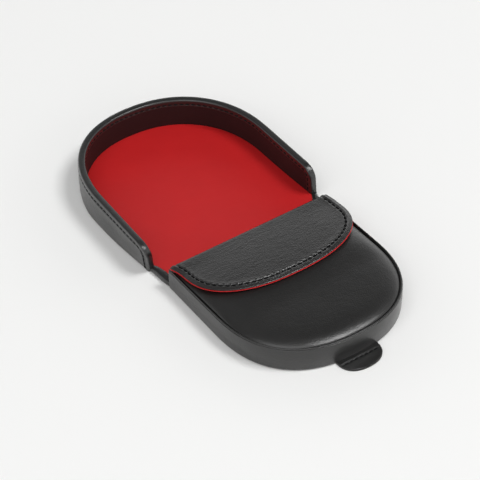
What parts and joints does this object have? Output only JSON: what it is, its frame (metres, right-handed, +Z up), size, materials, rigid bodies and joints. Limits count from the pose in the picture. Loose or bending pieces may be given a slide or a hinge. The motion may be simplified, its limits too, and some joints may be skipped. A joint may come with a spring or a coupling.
{
  "type": "coin pouch",
  "caption": "Horseshoe leather coin pouch lying open: padded pouch with a fold-over flap and pull tab, hinged by a leather spine to a red-lined coin tray.",
  "frame": {"origin": "middle of the bounding box's bottom face, on the surface that the open purse lies on", "axes": "+X across the purse to its right, +Y along it from the pouch's pull tab to the tray's round end, +Z up"},
  "size_m": [0.086, 0.174, 0.0155],
  "materials": {
    "black_leather": "smooth semi-gloss black leather with a fine grain",
    "red_lining": "smooth matt red lining leather",
    "dark_lining": "smooth dark brown-black lining leather",
    "board": "grey bonded leather-fibre board",
    "foam": "cream foam padding",
    "thread": "black bonded sewing thread"
  },
  "bodies": {
    "pouch": {"pouch_base_leather": "black_leather", "pouch_base_board": "board", "pouch_base_lining": "red_lining", "pouch_side_leather": "black_leather", "pouch_side_board": "board", "pouch_side_lining": "red_lining", "top_panel_bead": "black_leather", "top_panel_lining": "red_lining", "top_panel_board": "board", "top_panel_padding": "foam", "top_panel_leather": "black_leather", "pull_tab_lower": "black_leather", "pull_tab_upper": "black_leather", "pull_tab_stitching": "thread"},
    "flap_front": {"flap_front_leather": "black_leather", "flap_front_lining": "red_lining"},
    "flap_top": {"flap_leather": "black_leather", "flap_lining": "red_lining", "flap_stitching": "thread"},
    "spine": {"spine_leather": "black_leather", "spine_tape": "board", "spine_lining": "red_lining", "spine_edge_left": "black_leather", "spine_edge_right": "black_leather"},
    "tray": {"tray_base_leather": "black_leather", "tray_base_board": "board", "tray_floor_lining": "red_lining", "tray_wall_leather": "black_leather", "tray_wall_board": "board", "tray_wall_lining": "dark_lining", "tray_rim_binding": "black_leather", "tray_outer_stitching": "thread", "tray_inner_stitching": "thread"}
  },
  "joints": [
    {"name": "spine_crease", "type": "hinge", "parent": "pouch", "child": "spine", "pos_m": [0, -0.00527, 0.0022], "axis": [1, 0, 0], "range_deg": [0, 88], "deforming": ["spine_leather", "spine_tape", "spine_lining", "spine_edge_left", "spine_edge_right"]},
    {"name": "tray_crease", "type": "hinge", "parent": "spine", "child": "tray", "pos_m": [0, 0.00575, 0.0022], "axis": [1, 0, 0], "range_deg": [0, 88]},
    {"name": "flap_foot_crease", "type": "hinge", "parent": "pouch", "child": "flap_front", "pos_m": [0, -0.00557, 0.0025], "axis": [1, 0, 0], "range_deg": [-90, 0]},
    {"name": "flap_fold", "type": "hinge", "parent": "flap_front", "child": "flap_top", "pos_m": [0, -0.00677, 0.01045], "axis": [1, 0, 0], "range_deg": [-82, 0]}
  ],
  "couplings": [
    {"joint": "tray_crease", "follows": "spine_crease", "ratio": 1},
    {"joint": "flap_fold", "follows": "flap_foot_crease", "ratio": 0.91111}
  ]
}
